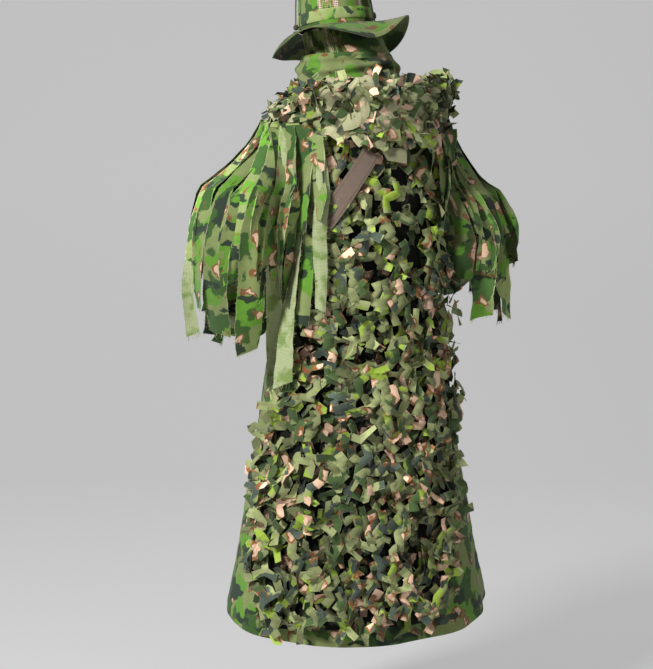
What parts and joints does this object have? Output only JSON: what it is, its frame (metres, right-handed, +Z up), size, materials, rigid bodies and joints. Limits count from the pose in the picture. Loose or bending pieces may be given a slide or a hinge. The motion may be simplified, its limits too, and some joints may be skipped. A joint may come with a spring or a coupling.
{
  "type": "ghillie suit",
  "caption": "Ghillie suit: hooded, sleeved camouflage cloak with a leaf-cut back net, hanging rag strips and a front zip, with a brimmed hat that carries a face-mesh veil.",
  "frame": {"origin": "base of the wearer's neck, at the centre of the collar seam", "axes": "+Z up, -Y the way the wearer faces, +X to the wearer's left"},
  "size_m": [0.7902, 0.4646, 1.5311],
  "materials": {
    "camouflage_cloth": "matte woven cloth, disruptive green and brown print",
    "camouflage_net": "matte die-cut cloth net",
    "rag_strips": "matte torn cloth and open-weave scrim strips",
    "veil_mesh": "printed see-through mesh",
    "dark_mesh": "dark open mesh",
    "webbing": "brown woven webbing",
    "cord": "braided olive-brown cord",
    "gunmetal": "dark plated metal",
    "zip_plastic": "moulded coil"
  },
  "bodies": {
    "cloak": {"zip_tape_left": "camouflage_cloth", "zip_teeth_left": "zip_plastic", "zip_tape_right": "camouflage_cloth", "zip_teeth_right": "zip_plastic", "zip_bottom_stop": "gunmetal", "yoke_left": "camouflage_cloth", "yoke_right": "camouflage_cloth", "back_panel": "camouflage_cloth", "side_panel_left": "camouflage_cloth", "front_panel_left": "camouflage_cloth", "side_panel_right": "camouflage_cloth", "front_panel_right": "camouflage_cloth", "front_underlap": "camouflage_cloth", "shoulder_cap_left": "camouflage_cloth", "sleeve_upper_left": "camouflage_cloth", "sleeve_lower_left": "camouflage_cloth", "cuff_left": "camouflage_cloth", "shoulder_cap_right": "camouflage_cloth", "sleeve_upper_right": "camouflage_cloth", "sleeve_lower_right": "camouflage_cloth", "cuff_right": "camouflage_cloth", "fringe_left_shoulder": "rag_strips", "fringe_left_elbow": "rag_strips", "fringe_left_forearm": "rag_strips", "fringe_right_shoulder": "rag_strips", "fringe_right_elbow": "rag_strips", "fringe_left_back": "rag_strips", "net_upper_back": "camouflage_net", "net_lower_back": "camouflage_net", "net_backing_mesh": "dark_mesh", "back_strap": "webbing", "hood_roll": "camouflage_net", "hood_drape": "camouflage_net", "neck_band": "camouflage_cloth", "hanger_loop": "webbing"},
    "headwear": {"hat_crown_side": "camouflage_cloth", "hat_crown_top": "camouflage_cloth", "hat_brim": "camouflage_cloth", "hat_foliage_band": "camouflage_cloth", "hat_sweatband": "webbing", "hat_vent_mesh_left": "dark_mesh", "hat_eyelet_left": "gunmetal", "hat_cord_knot_left": "cord", "hat_vent_mesh_right": "dark_mesh", "hat_eyelet_right": "gunmetal", "hat_cord_knot_right": "cord", "hat_chin_cord": "cord", "veil_face_mesh": "veil_mesh", "veil_neck_cloth": "camouflage_cloth", "veil_rear_flap": "camouflage_cloth"},
    "cord_slider": {"hat_cord_slider": "cord"},
    "zip_slider": {"zip_slider": "gunmetal"},
    "zip_pull": {"zip_pull": "gunmetal"}
  },
  "joints": [
    {"name": "headwear_lift", "type": "slide", "parent": "cloak", "child": "headwear", "axis": [0, 0, 1], "range_m": [0, 0.3]},
    {"name": "cord_slider_slide", "type": "slide", "parent": "headwear", "child": "cord_slider", "axis": [0.197, -0.0418, 0.9795], "range_m": [0, 0.024]},
    {"name": "zip_slide", "type": "slide", "parent": "cloak", "child": "zip_slider", "axis": [0, -0.0847, -0.9964], "range_m": [0, 0.52]},
    {"name": "zip_pull_swing", "type": "hinge", "parent": "zip_slider", "child": "zip_pull", "pos_m": [0, -0.10581, -0.08556], "axis": [-1, 0, 0], "range_deg": [0, 170]}
  ]
}
